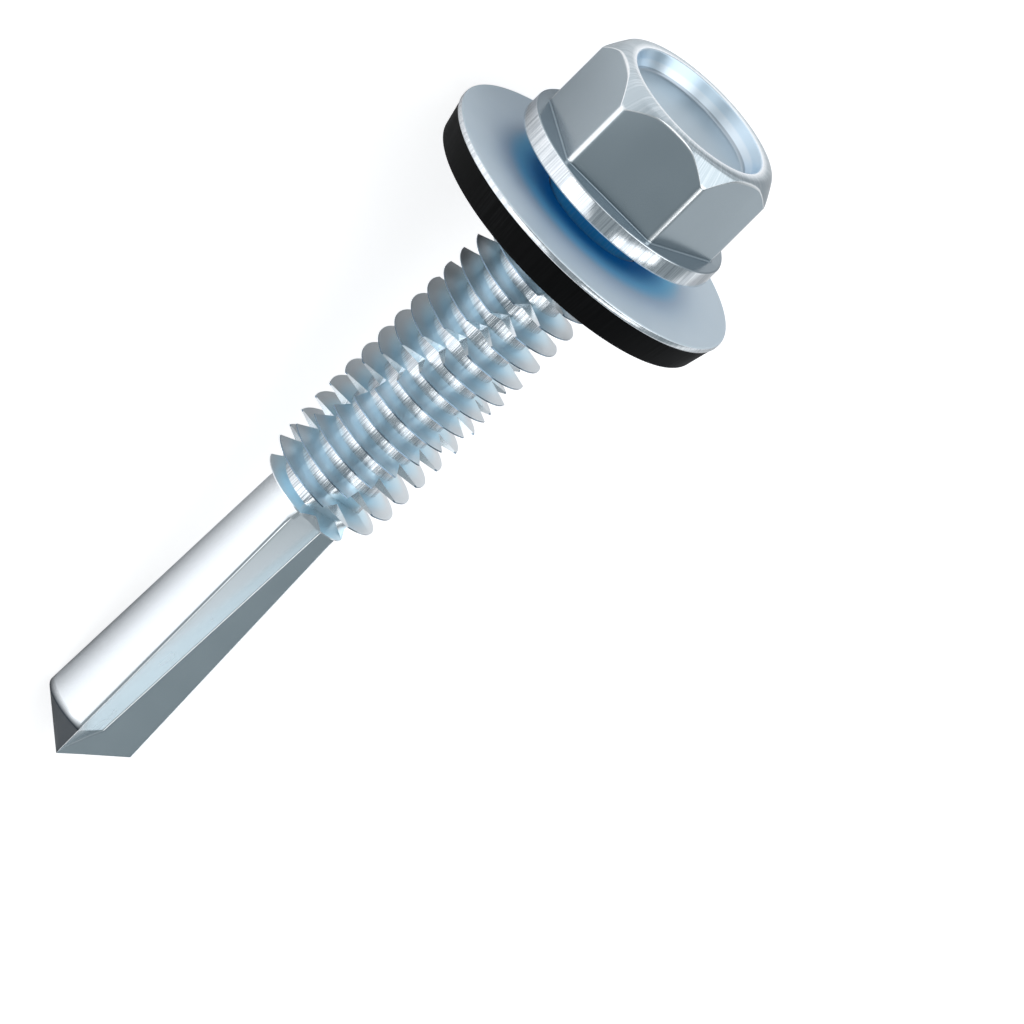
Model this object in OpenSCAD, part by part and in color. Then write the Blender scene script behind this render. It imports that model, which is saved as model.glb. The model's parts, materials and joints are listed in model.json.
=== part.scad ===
// Self drilling screw with a hexagon flange head, a loose sealing washer and a long drill.
// The screw is drawn upright, head up, with the flange's underside at height 0. It is then laid down
// as it comes to rest, on the washer's rim and on the two edges of one drill flute.
// Angles round the screw start at the near side, where one flat of the hexagon faces -Y, and are
// counted to the right. The hand of the thread and the places of flutes and notches are as photographed.

/* [Head] */
// Width of the hexagon across its flats
hex_af = 7.8; // [7:0.1:8.4]
// How much each corner of the hexagon is rounded off
corner_cut = 0.05; // [0.02:0.01:0.2]
// Height of the head from the flange's underside to its top
head_h = 4.9; // [3.5:0.1:7]
// Radius of the round crown at the top of the hexagon
crown_r = 1.1; // [0.7:0.1:1.5]
// Diameter of the round flange
flange_d = 9.8; // [9.7:0.1:13]
// Thickness of the round flange
flange_t = 0.85; // [0.5:0.05:1.5]
// Size of the broken edges of the flange
flange_edge = 0.06; // [0.02:0.01:0.2]
// Diameter of the recess in the top of the head, at its mouth
recess_d = 6.6; // [3:0.1:6.7]
// Diameter of the recess at its floor
recess_floor_d = 5.9; // [2:0.1:6]
// Depth of the recess at the edge of its floor
recess_depth = 0.8; // [0.2:0.1:1.5]
// How much deeper the recess is in the middle of its dished floor
recess_dish = 0.08; // [0.02:0.01:0.3]

/* [Shank] */
// Length from the flange's underside to the point of the drill
length = 32.6; // [30:0.1:60]
// Diameter of the plain neck that the washer sits on
neck_d = 4.6; // [4:0.1:5]
// Length of the plain neck
neck_l = 1.7; // [1.6:0.1:4]
// Length of the cone between the neck and the thread
neck_cone_l = 0.2; // [0.1:0.05:0.5]
// Size of the fillet between the neck and the flange
neck_fillet = 0.15; // [0.05:0.05:0.15]

/* [Thread] */
// Hand of the thread and of its notches: -1 as photographed, 1 mirrored
thread_hand = -1; // [-1, 1]
// Diameter over the thread's crests
thread_d = 5.5; // [5.2:0.05:6]
// Diameter at the thread's root
root_d = 3.43; // [3:0.05:4]
// Distance between two crests along the shank
pitch = 0.955; // [0.9:0.005:1.8]
// Thickness of the thread's ridge at the root
ridge_base = 0.38; // [0.3:0.01:0.6]
// Thickness of the thread's ridge at the crest
ridge_crest = 0.05; // [0.03:0.01:0.15]
// Turns over which the ridge rises under the neck
run_in = 0.4; // [0.2:0.1:1.5]
// Turns over which the ridge fades above the drill
run_out = 1.9; // [0.5:0.1:3]

/* [Notches] */
// Rows of V notches across the thread
notch_rows = 3; // [2:1:4]
// Half of the angle that one notch takes out of a crest
notch_half = 16; // [8:1:22]
// Turn of a row of notches for each millimetre of height
notch_turn = 9.8; // [0:0.1:15]
// Angle of the first row of notches at the flange's underside
notch_start = -48.2; // [-60:0.1:60]
// Height of ridge that a notch leaves at its bottom
notch_left = 0.06; // [0.03:0.01:0.3]

/* [Drill] */
// Length of the drill from the end of the thread to its point
drill_l = 14.35; // [12:0.05:20]
// Diameter of the drill where it leaves the thread
drill_top_d = 3.62; // [3.5:0.02:4.2]
// Diameter of the drill at its shoulder
drill_d = 4.42; // [4:0.02:5]
// Height of the drill's point
point_h = 2.06; // [1.6:0.02:3]
// Distance from the axis to the bottom line of a flute, at the top of the drill
web_top = 1.2; // [0.9:0.01:1.3]
// Distance from the axis to the bottom line of a flute, at the shoulder
web_shoulder = 0.665; // [0.4:0.005:0.9]
// Distance from the axis to the bottom line of a flute, at the point
web_point = 0.05; // [0.03:0.01:0.2]
// Height of a flute above the end of the thread
flute_rise = 2.35; // [1.5:0.05:3]
// Height over which a flute runs out to the surface
flute_run_out = 1.45; // [0.8:0.05:1.5]
// Angle between the two edges of a flute
flute_angle = 90; // [80:1:100]

/* [Washer] */
// Diameter of the steel disc
plate_d = 14; // [12:0.1:18]
// Thickness of the steel disc
plate_t = 0.3; // [0.2:0.05:0.4]
// Gap between the neck and the hole of the steel disc, on each side
plate_gap = 0.2; // [0.17:0.01:0.3]
// Height of the gap between the flange and the washer as it lies
washer_gap = 1.2; // [0.1:0.05:1.3]
// Thickness of the rubber at its rim
rubber_t = 1.25; // [0.8:0.05:2]
// How much the rubber's rim lies inside the steel disc's rim
rubber_inset = 0.05; // [0.02:0.01:0.3]
// How much the rubber narrows from the disc to its sealing face, on each side
rubber_taper = 0.3; // [0:0.05:0.6]
// Gap between the thread's crests and the hole in the rubber, on each side
rubber_gap = 0.4; // [0.2:0.05:0.8]
// Depth of the dished sealing face at the rubber's hole
rubber_dish = 0.62; // [0.1:0.02:0.7]

/* [Hidden] */
$fn = 72;

// How far a cut passes a surface
over = 0.5;
// How far the neck's and the drill's ends stand out past the thread's ends
ledge = 0.01;
// Height of bare root above the start of the ridge and below its end
bare_root = 0.056;
// Half the thickness of a cut ridge, as a share, which keeps its edges between its feet
half_share = 0.45;
// Distance at which a flute's cutter ends clear of the root, as a share of the root's radius
clear_share = 0.75;

// Heights on the upright screw, all below the flange's underside
thread_top_z = -neck_l - neck_cone_l;
thread_low_z = drill_l - length;
shoulder_z = point_h - length;
plate_z = -washer_gap - plate_t;

// Radii
thread_r = thread_d / 2;
root_r = root_d / 2;
neck_r = neck_d / 2;
drill_top_r = drill_top_d / 2;
drill_r = drill_d / 2;
plate_r = plate_d / 2;
ridge_h = thread_r - root_r;

// The screw lies on the disc's lower rim and on the edges of the flute that faces down
flute_drop = drill_r * cos(flute_angle / 2);
rest_tilt = atan((plate_r - flute_drop) / (plate_z - shoulder_z));
rest_h = plate_r * cos(rest_tilt) - plate_z * sin(rest_tilt);
down_angle = 270 - flute_angle / 2;

// The origin lies on the floor under the middle of the part's length
corner_r = hex_af / sqrt(3) - corner_cut;
crown_mid_r = corner_r - crown_r;
tip_x = length * cos(rest_tilt);
top_x = (head_h - crown_r) * cos(rest_tilt) + crown_mid_r * sin(rest_tilt) + crown_r;
middle_x = (tip_x - top_x) / 2;

// The thread is a grid of columns and turns. A row of notches takes a column at its bottom and one at
// each rim, and the ridge between two rows takes the rest. The columns turn with the notches.
land_steps = 9;
row_cols = land_steps + 2;
cols = notch_rows * row_cols;
row_angle = 360 / notch_rows;
land_angle = row_angle - 2 * notch_half;
fall = pitch / 360;
col_pitch = pitch / (1 + fall * notch_turn);

// Height of the ridge's middle at its start, and the turns that fit above the drill
start_z = thread_top_z - ridge_base / 2 - bare_root;
turns = (start_z - thread_low_z - ridge_base / 2 - bare_root) / col_pitch;
whole_turns = floor(turns);
steps = whole_turns * cols
    + len([for (i = [0 : cols - 1]) if (column(i) <= 360 * (turns - whole_turns)) i]) - 1;

// Angle of column i past the bottom of the first notch
function in_row(j) = j == 0 ? 0 : notch_half + (j - 1) * land_angle / land_steps;
function column(i) = floor(i / row_cols) * row_angle + in_row(i % row_cols);
function col_angle(i, z) = column(i) + notch_start + notch_turn * z;

// Turns of the ridge up to step s
function turns_at(s) = floor(s / cols) + column(s % cols) / 360;

// The share of its height that the ridge has: it rises under the neck, fades above the drill,
// and is cut down at the bottom of a notch
function fade(u) = u <= 0 ? 1 : max(0, 1 - u * u);
function ridge_share(t) = fade(1 - t / run_in) * fade(1 - (turns - t) / run_out);
function notch_share(i) = i % row_cols == 0 ? notch_left / ridge_h : 1;

// The root widens to the drill where the ridge fades
widen_h = run_out * pitch;
function root_at(z) = root_r
    + (drill_top_r - ledge - root_r) * max(0, min(1, (thread_low_z + widen_h - z) / widen_h));

// Half the thickness of the ridge where it is cut off at height h over the root
function half_thick(h) = half_share * (ridge_base + (ridge_crest - ridge_base) * h / ridge_h);

// A point at angle a, radius r and height z
function around(a, r, z) = [r * sin(a), -r * cos(a), z];

// The four points of the ridge's section at step s, from its upper foot to its lower foot
function section(s) = let (
        i = s % cols,
        t = turns_at(s),
        z = start_z - col_pitch * t,
        h = ridge_h * ridge_share(t) * notch_share(i),
        b = half_thick(h),
        up = z + ridge_base / 2,
        low = z - ridge_base / 2
    ) [
        around(col_angle(i, up), root_at(up), up),
        around(col_angle(i, z + b), root_at(z) + h, z + b),
        around(col_angle(i, z - b), root_at(z) + h, z - b),
        around(col_angle(i, low), root_at(low), low)
    ];

function ring(z) = [for (i = [0 : cols - 1]) around(col_angle(i, z), root_at(z), z)];

// Two triangles between an upper and a lower line, each given by its left and right point
function strip(ul, ur, lr, ll) = [[ul, ur, lr], [ul, lr, ll]];
// Triangles from point a to a line of points
function fan(a, line) = [for (i = [0 : len(line) - 2]) [a, line[i], line[i + 1]]];

// Root and ridge in one skin, closed by a flat ring of points above and below
module thread() {
    points = concat([for (s = [0 : steps]) each section(s)], ring(thread_top_z), ring(thread_low_z));
    function foot(s, j) = 4 * s + j;
    function top(i) = 4 * (steps + 1) + i % cols;
    function low(i) = top(0) + cols + i % cols;
    last = steps - cols;
    faces = concat(
        [for (s = [0 : steps - 1], j = [0 : 2])
            each strip(foot(s, j), foot(s + 1, j), foot(s + 1, j + 1), foot(s, j + 1))],
        [for (s = [0 : last - 1])
            each strip(foot(s, 3), foot(s + 1, 3), foot(s + 1 + cols, 0), foot(s + cols, 0))],
        [for (s = [0 : cols - 2]) each strip(top(s), top(s + 1), foot(s + 1, 0), foot(s, 0))],
        fan(top(cols - 1), concat(top(0), [for (j = [0 : 3]) foot(0, j)], foot(cols, 0), foot(cols - 1, 0))),
        [for (s = [last + 1 : steps - 1]) each strip(foot(s, 3), foot(s + 1, 3), low(s + 1), low(s))],
        fan(foot(last + 1, 3), concat(low(last + 1), low(last), [for (j = [3 : -1 : 0]) foot(steps, j)],
            foot(last, 3))),
        [[for (i = [cols - 1 : -1 : 0]) top(i)], [for (i = [0 : cols - 1]) low(i)]]
    );
    mirror([thread_hand > 0 ? 1 : 0, 0, 0]) polyhedron(points, faces);
}

// The hexagon under its round crown, on the flange, with the recess in its top
module head() {
    crown_z = head_h - crown_r;
    difference() {
        union() {
            rotate_extrude() polygon([
                [0, 0],
                [flange_d / 2 - flange_edge, 0],
                [flange_d / 2, flange_edge],
                [flange_d / 2, flange_t - flange_edge],
                [flange_d / 2 - flange_edge, flange_t],
                [0, flange_t]
            ]);
            intersection() {
                cylinder(h = head_h, d = hex_af / cos(30), $fn = 6);
                rotate_extrude() {
                    square([crown_mid_r, head_h]);
                    square([corner_r, crown_z]);
                    translate([crown_mid_r, crown_z]) intersection() {
                        circle(crown_r);
                        square(crown_r);
                    }
                }
            }
        }
        rotate_extrude() polygon([
            [0, head_h - recess_depth - recess_dish],
            [recess_floor_d / 2, head_h - recess_depth],
            [recess_d / 2, head_h],
            [recess_d / 2, head_h + over],
            [0, head_h + over]
        ]);
    }
}

module neck() {
    rotate_extrude() polygon([
        [0, over / 2],
        [neck_r + neck_fillet, over / 2],
        [neck_r + neck_fillet, 0],
        [neck_r, -neck_fillet],
        [neck_r, -neck_l],
        [root_r + ledge, thread_top_z],
        [0, thread_top_z]
    ]);
}

module drill_blank() {
    rotate_extrude() polygon([
        [0, thread_low_z],
        [drill_top_r, thread_low_z],
        [drill_r, shoulder_z],
        [0, -length]
    ]);
}

// Section of a flute's cutter at height z. One wall lies in the plane of the axis, the other runs
// from the bottom line, at distance w from the axis, through the edge of the drill of radius r.
function flute_section(z, w, r) = let (
        edge = around(90 - flute_angle, r, z),
        bottom = [w, 0, z],
        out = 2 * edge - bottom,
        wide = thread_r + over
    ) [bottom, out, [wide, out[1], z], [wide, 0, z]];

module flute() {
    full_z = thread_low_z + flute_rise - flute_run_out;
    end_z = thread_low_z + flute_rise;
    clear = clear_share * root_r;
    points = concat(
        [for (p = flute_section(end_z, web_top, root_r)) p + [clear, -clear, 0]],
        flute_section(full_z, web_top, drill_top_r),
        flute_section(shoulder_z, web_shoulder, drill_r),
        flute_section(-length, web_point, drill_r * web_point / web_shoulder)
    );
    faces = concat(
        [[3, 2, 1, 0]],
        [for (k = [0 : 4 : 8], j = [0 : 3]) let (n = (j + 1) % 4)
            each strip(k + j, k + n, k + 4 + n, k + 4 + j)],
        [[12, 13, 14, 15]]
    );
    polyhedron(points, faces);
}

// Lays the upright screw down on the floor, with its point towards +X
module at_rest() {
    translate([-middle_x, 0, rest_h]) rotate([0, rest_tilt - 90, 0]) rotate(-down_angle - 90) children();
}

module screw() {
    color([0.74, 0.79, 0.83]) at_rest() difference() {
        union() {
            head();
            neck();
            thread();
            drill_blank();
        }
        flute();
        rotate(180) flute();
    }
}

module washer_plate() {
    hole_r = neck_r + plate_gap;
    color([0.78, 0.82, 0.85]) at_rest() translate([0, 0, plate_z]) difference() {
        cylinder(h = plate_t, r = plate_r);
        translate([0, 0, -over]) cylinder(h = plate_t + 2 * over, r = hole_r);
    }
}

module rubber_seal() {
    hole_r = thread_r + rubber_gap;
    rim_r = plate_r - rubber_inset;
    color([0.06, 0.06, 0.07]) at_rest() rotate_extrude() polygon([
        [hole_r, plate_z],
        [rim_r, plate_z],
        [rim_r - rubber_taper, plate_z - rubber_t],
        [hole_r, plate_z - rubber_t + rubber_dish]
    ]);
}

screw();
washer_plate();
rubber_seal();
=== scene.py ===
"""Looks of a self drilling screw with its sealing washer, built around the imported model."""

import json
from math import acos, atan2, cos, floor, hypot, pi, radians, sin, sqrt, tan

import bmesh
import bpy
from bpy.props import FloatProperty, FloatVectorProperty, IntProperty, PointerProperty
from mathutils import Matrix, Vector


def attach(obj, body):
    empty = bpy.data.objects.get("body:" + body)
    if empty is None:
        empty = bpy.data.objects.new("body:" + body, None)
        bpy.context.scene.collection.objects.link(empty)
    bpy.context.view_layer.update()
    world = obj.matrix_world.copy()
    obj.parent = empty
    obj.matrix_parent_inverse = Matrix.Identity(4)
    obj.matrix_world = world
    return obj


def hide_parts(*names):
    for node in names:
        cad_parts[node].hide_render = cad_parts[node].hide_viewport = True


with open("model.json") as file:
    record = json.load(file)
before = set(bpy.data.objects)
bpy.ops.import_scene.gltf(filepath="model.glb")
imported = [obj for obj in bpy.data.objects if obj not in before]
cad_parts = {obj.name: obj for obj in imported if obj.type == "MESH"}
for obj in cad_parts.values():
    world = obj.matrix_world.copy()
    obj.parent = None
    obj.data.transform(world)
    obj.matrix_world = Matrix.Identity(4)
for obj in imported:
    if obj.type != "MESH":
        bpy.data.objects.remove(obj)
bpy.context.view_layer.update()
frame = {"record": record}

bl_info = {
    "name": "Self Drilling Screw",
    "version": (1, 0, 0),
    "blender": (4, 5, 0),
    "location": "3D View > Sidebar > Screw",
    "description": "Builds a self drilling screw, its sealing washer and a small studio",
    "category": "Add Mesh",
}

MM = 0.001
MOUNTS = {mount["name"]: mount for mount in frame["record"]["mounts"]}

HEX_SIDES = 6

# How finely round things are divided
FLAT_STEPS = 48
CORNER_STEPS = 8
CROWN_STEPS = 14
BLEND_STEPS = 6
ROUND_STEPS = 5
TURN_STEPS = 192
NOTCH_STEPS = 4
LAND_STEPS = 20
POINT_STEPS = 12
ARC_STEPS = 30
FLOOR_STEPS = 64

# Where lines of points lie, as shares of the way: over the recess's floor, down the drill's body, over a
# flute's wall, its broken edge and its leading edge, over the sealing face, and last before the point
DISH_PLACES = (0.2, 0.4, 0.6, 0.75)
BODY_PLACES = (0, 0.026, 0.125, 0.25, 0.375, 0.5, 0.625, 0.75, 0.875, 0.975)
WALL_PLACES = (0.03, 0.25, 0.5, 0.75, 0.97)
BROKEN_PLACES = (0, 0.25, 0.5, 0.75, 1)
LEADING_PLACES = (0, 0.33, 0.67, 1)
SEAL_PLACES = (0.2, 0.4, 0.6, 0.8)
POINT_END = 0.985

# Next to its edge, at this share of its width, the recess's floor is down by this share of its dish
DISH_EDGE, DISH_EDGE_DROP = 0.8, 0.3

# The rings of the hollow at the head's foot that the highlight painted along the corners still reaches
GLINT_FOOT_RINGS = 2

# In which share of its rise a flute opens to the drill's skin, and by which power its walls run out
OPEN_RISE, END_POWER = 0.6, 1.5

# The most that a broken edge and the web take of the drill's radius, and a flute's radius of the web
EDGE_SHARE, WEB_SHARE, ROUND_SHARE = 0.12, 0.7, 0.35

# The share of its width that a broken edge has at the thread, and how far below it has all of it
EDGE_START, EDGE_FADE = 0.2, 0.4 * MM

# How far a broken edge reaches onto the land, and a leading edge onto the wall, as shares of their width
EDGE_ON_LAND, EDGE_ON_WALL = 0.3, 0.5

# The height over the shoulder at which the point's painted shade starts
POINT_SHADE_START = 0.1 * MM

# How much of the flutes' painted shade the wall has that leads to the near edge, and from which depth on
NEAR_WALL, GREY_DEPTH = 0.5, 0.04 * MM

# From how far and by which power the thread's columns move up to the edges of the flutes, and how wide
# the highlight painted along those edges is
EDGE_PULL, PULL_POWER = radians(4.4), 3
EDGE_GLINT = EDGE_PULL / 6

# The share of a flank by which the crest sinks as the ridge fades, and the share of its foot that a
# notch leaves
CREST_SINK, NOTCH_FOOT = 0.9, 0.95

# The height of the thread's last ring over the drill's first one
JOIN_RISE = 0.02 * MM

# The least that something is divided by
TINY = 1e-6

# The sharpest angle between two faces that still shades as one smooth surface
SMOOTH_ANGLE = radians(38)


def length(name, description, millimetres):
    """A size in metres, written in millimetres."""
    return FloatProperty(
        name=name, description=description, default=millimetres * MM, unit="LENGTH", precision=5
    )


def angle(name, description, in_degrees):
    """An angle in radians, written in degrees."""
    return FloatProperty(
        name=name, description=description, default=radians(in_degrees), subtype="ANGLE"
    )


def share(name, description, default):
    return FloatProperty(name=name, description=description, default=default, min=0.0)


def colour(name, description, default):
    return FloatVectorProperty(
        name=name, description=description, default=default, subtype="COLOR", min=0.0, max=1.0
    )


class HeadSettings(bpy.types.PropertyGroup):
    across_flats: length("Across flats", "Width of the hexagon across its flats", 7.8)
    corner_round: length("Corner radius", "Radius of the hexagon's six upright edges", 0.3)
    height: length("Height", "From the flange's underside to the top of the head", 4.9)
    crown_width: length("Crown diameter", "Diameter of the flat top, where the crown starts", 7.17)
    crown_round: length("Crown radius", "Radius from the top to the crown's cone", 0.52)
    crown_slope: angle("Crown slope", "Fall of the crown's cone", 59)
    arch_round: length("Arch radius", "Radius of the edge between a flat and the crown", 0.16)
    foot_round: length("Foot radius", "Radius of the hollow between a flat and the flange", 0.08)
    flange_width: length("Flange diameter", "Diameter of the round flange", 9.8)
    flange_height: length("Flange thickness", "Thickness of the round flange", 0.85)
    flange_round: length("Flange edge radius", "Radius of the flange's edges", 0.08)
    recess_width: length("Recess mouth", "Diameter of the recess at its mouth", 6.6)
    recess_floor_width: length("Recess floor", "Diameter of the recess at its floor", 5.9)
    recess_depth: length("Recess depth", "Depth of the recess at the edge of its floor", 0.8)
    recess_dish: length("Recess dish", "How much deeper the middle of the floor is", 0.08)
    recess_round: length("Recess radius", "Radius of the recess's rim and floor edge", 0.12)


class ShankSettings(bpy.types.PropertyGroup):
    length: length("Length", "From the flange's underside to the point", 32.6)
    neck_width: length("Neck diameter", "Diameter of the plain neck", 4.6)
    neck_length: length("Neck length", "Length of the plain neck", 1.7)
    neck_cone: length("Neck cone", "Length of the cone under the neck", 0.2)
    neck_round: length("Neck fillet", "Fillet between the neck and the flange", 0.15)


class ThreadSettings(bpy.types.PropertyGroup):
    hand: IntProperty(
        name="Hand", description="-1 winds left, as photographed, and 1 winds right", default=-1
    )
    width: length("Thread diameter", "Diameter over the crests", 5.5)
    root_width: length("Root diameter", "Diameter at the root", 3.43)
    pitch: length("Pitch", "Distance between two crests", 0.955)
    ridge_base: length("Ridge base", "Thickness of the ridge at the root", 0.38)
    ridge_crest: length("Ridge crest", "Thickness of the ridge at the crest", 0.05)
    bare_root: length("Bare root", "Bare root above the ridge's start and below its end", 0.056)
    run_in: share("Run in", "Turns over which the ridge rises", 0.4)
    run_out: share("Run out", "Turns over which the ridge fades", 1.9)
    notch_rows: IntProperty(name="Notch rows", description="Rows of V notches", default=3, min=2)
    notch_half: angle("Notch half angle", "Half of the angle that a notch takes", 16)
    notch_twist: angle("Notch twist", "Turn of a row for each millimetre of height", 9.8)
    notch_start: angle("Notch start", "Angle of the first row under the flange", -48.2)
    notch_left: length("Notch rest", "Height of ridge left at a notch's bottom", 0.06)


class DrillSettings(bpy.types.PropertyGroup):
    length: length("Drill length", "From the end of the thread to the point", 14.35)
    top_width: length("Top diameter", "Diameter where the drill leaves the thread", 3.62)
    width: length("Shoulder diameter", "Diameter at the shoulder", 4.42)
    shoulder_round: length("Shoulder radius", "Radius of the shoulder's edge", 0.06)
    point_height: length("Point height", "Height of the point under the shoulder", 2.06)
    web_top: length("Web at the top", "From the axis to a flute's bottom line, at the top", 1.2)
    web_shoulder: length("Web at the shoulder", "The same at the shoulder", 0.665)
    web_point: length("Web at the point", "The same at the point", 0.03)
    web_bend: share("Web bend", "How fast the web closes towards the point", 1.4)
    flute_rise: length("Flute rise", "Height of a flute above the end of the thread", 2.35)
    flute_end: length("Flute end", "How far a flute's walls stand out where it ends", 0.36)
    flute_round: length("Flute radius", "Radius of a flute's bottom line", 0.07)
    edge_top: length("Edge at the top", "Width of a flute's broken edge, at the top", 0.14)
    edge_low: length("Edge at the shoulder", "The same at the shoulder", 0.04)
    edge_out: length("Outer edge", "Width of the broken edge that leads in the turn", 0.08)


class WasherSettings(bpy.types.PropertyGroup):
    width: length("Disc diameter", "Diameter of the steel disc", 14.0)
    thickness: length("Disc thickness", "Thickness of the steel disc", 0.3)
    edge_round: length("Disc edge radius", "Radius of the disc's edges", 0.09)
    hole_gap: length("Hole gap", "Gap between the neck and the disc's hole", 0.06)
    drop: length("Drop", "Gap between the flange and the disc", 1.2)
    rubber_height: length("Rubber height", "Thickness of the rubber at its rim", 1.25)
    rubber_inset: length("Rubber inset", "How far the rubber lies inside the disc's rim", 0.05)
    rubber_taper: length("Rubber taper", "How much the rubber narrows downwards", 0.3)
    rubber_gap: length("Rubber gap", "Gap between the crests and the rubber's hole", 0.4)
    rubber_dish: length("Rubber dish", "Depth of the sealing face at the hole", 0.62)
    rubber_round: length("Rubber edge radius", "Radius of the rubber's lower edges", 0.1)


class FinishSettings(bpy.types.PropertyGroup):
    zinc: colour("Zinc", "Bright zinc plating", (0.86, 0.89, 0.92))
    # Also painted as shade in the corner round the recess's floor
    zinc_dark: colour("Dark zinc", "Fine dark marks in the bright plating", (0.3, 0.35, 0.4))
    # A highlight painted along the rounded edges of the head and of the flutes
    zinc_worn: colour("Painted edge highlight", "Plating that is rubbed bright along edges", (0.97, 0.98, 0.99))
    # Painted shade: the flats, the crown and the hollow at their foot are the same zinc, painted darker
    zinc_flat_shade: colour("Painted head shade", "Plating of the flats and the crown", (0.43, 0.49, 0.53))
    # Painted shade on the flange's top
    zinc_flange_shade: colour("Painted flange shade", "Plating of the flange's top", (0.28, 0.34, 0.385))
    # Painted shade in the flutes
    zinc_flute_shade: colour("Painted flute shade", "Plating of the flutes", (0.54, 0.61, 0.645))
    zinc_recess: colour("Recess zinc", "Plating of the recess's wall", (0.56, 0.69, 0.8))
    # Painted shade on the recess's floor
    zinc_recess_floor_shade: colour("Painted recess floor shade", "Plating of the recess's floor", (0.4, 0.47, 0.52))
    # Painted shade on the point
    zinc_point_shade: colour("Painted point shade", "Plating of the point", (0.04, 0.05, 0.06))
    zinc_blue: colour("Blue zinc", "Plating on the thread's flanks", (0.7, 0.89, 0.99))
    zinc_lobe: colour("Pale zinc", "Plating on the flanks next to the crests", (0.74, 0.78, 0.81))
    # A dark line painted as shade along the crests
    zinc_crest_shade: colour("Painted crest shade", "Plating on the thread's crests", (0.1, 0.2, 0.3))
    # Painted blue shade in the gap under the flange, pale here and deep below
    zinc_pale_gap_shade: colour("Painted pale gap shade", "Plating of the disc round the gap under the flange", (0.42, 0.85, 1.0))
    zinc_deep_shade: colour("Painted deep gap shade", "Plating deep in the gap under the flange", (0.02, 0.34, 0.62))
    zinc_disc: colour("Disc zinc", "Plating of the steel disc", (0.6, 0.69, 0.76))
    rubber: colour("Rubber", "Black rubber", (0.003, 0.003, 0.0032))
    rubber_marks: colour("Rubber marks", "Fine grey marks on the rubber", (0.03, 0.03, 0.031))
    streaks: share("Streaks", "Strength of the dark marks round the bright plating", 0.5)
    fine_streaks: share("Fine streaks", "Strength of the finest of these marks", 0.3)
    # How bright the painted edge highlight is
    painted_glint_strength: share("Painted highlight strength", "How bright worn edges are", 0.9)
    rough_zinc: share("Zinc roughness", "Roughness of the bright plating", 0.14)
    rough_disc: share("Disc roughness", "Roughness of the disc's rim and underside", 0.2)
    rough_rubber: share("Rubber roughness", "Roughness of the rubber", 0.5)


class StudioSettings(bpy.types.PropertyGroup):
    tilt: angle("Tilt", "Rise of the view over the screw's side", 18.23)
    slant: angle("Slant", "Rise of the screw in the picture", 44.84)
    seen: length("Seen width", "Width that the picture shows", 40.08)
    distance: length("Distance", "From the camera to the screw", 1500)
    aim_side: length("Aim to the side", "Where the picture's middle lies beside the axis", 5.92)
    aim_height: length("Aim height", "The same along the axis, up from the point", 20.41)
    room: colour("Room", "The studio's walls and ceiling", (0.27, 0.31, 0.33))
    horizon: colour("Horizon", "The paler foot of the walls", (0.85, 0.88, 0.9))
    floor: colour("Floor", "The pale floor", (0.5, 0.5, 0.51))
    glow: share("Glow", "How much lighter the floor looks than the lamps make it", 0.8)


GROUPS = {
    "head": HeadSettings,
    "shank": ShankSettings,
    "thread": ThreadSettings,
    "drill": DrillSettings,
    "washer": WasherSettings,
    "finish": FinishSettings,
    "studio": StudioSettings,
}


class ScrewSettings(bpy.types.PropertyGroup):
    head: PointerProperty(type=HeadSettings, name="Head", description="Sizes of the head")
    shank: PointerProperty(type=ShankSettings, name="Shank", description="Sizes of the shank")
    thread: PointerProperty(type=ThreadSettings, name="Thread", description="Sizes of the thread")
    drill: PointerProperty(type=DrillSettings, name="Drill", description="Sizes of the drill")
    washer: PointerProperty(type=WasherSettings, name="Washer", description="Sizes of the washer")
    finish: PointerProperty(type=FinishSettings, name="Finish", description="Colours")
    studio: PointerProperty(type=StudioSettings, name="Studio", description="View and light")


def settings():
    return bpy.context.scene.drilling_screw


# Places. The screw is made upright, head up, with the flange's underside at height 0. Angles start at
# the near side, where a flat of the hexagon faces -Y, and are counted to the right.


def around(turn, reach, height):
    """The point at an angle, at a distance from the axis and at a height."""
    return Vector((reach * sin(turn), -reach * cos(turn), height))


def resting_place(head):
    """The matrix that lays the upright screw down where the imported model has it."""
    up = Vector(MOUNTS["hex_drive"]["axis"])
    back = -Vector(MOUNTS["wrench_flat"]["axis"])
    right = back.cross(up)
    origin = Vector(MOUNTS["hex_drive"]["pos_m"]) - up * head.height
    turned = Matrix((right, back, up)).transposed().to_4x4()
    return Matrix.Translation(origin) @ turned


def bend(before, corner, after, radius, steps):
    """Points of the arc that rounds a corner of an outline, from the side of before to that of after."""
    before, corner, after = Vector(before), Vector(corner), Vector(after)
    back, on = (before - corner).normalized(), (after - corner).normalized()
    half = acos(max(-1.0, min(1.0, back.dot(on)))) / 2
    centre = corner + (back + on).normalized() * (radius / sin(half))
    start = corner + back * (radius / tan(half)) - centre
    end = corner + on * (radius / tan(half)) - centre
    sweep = pi - 2 * half
    return [
        centre + (start * sin(sweep * (1 - k / steps)) + end * sin(sweep * k / steps)) / sin(sweep)
        for k in range(steps + 1)
    ]


def curve(start, corner, end, t):
    """The point at share t of a curve that leaves for a corner and arrives from it."""
    return start * (1 - t) ** 2 + corner * (2 * t * (1 - t)) + end * t * t


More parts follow.
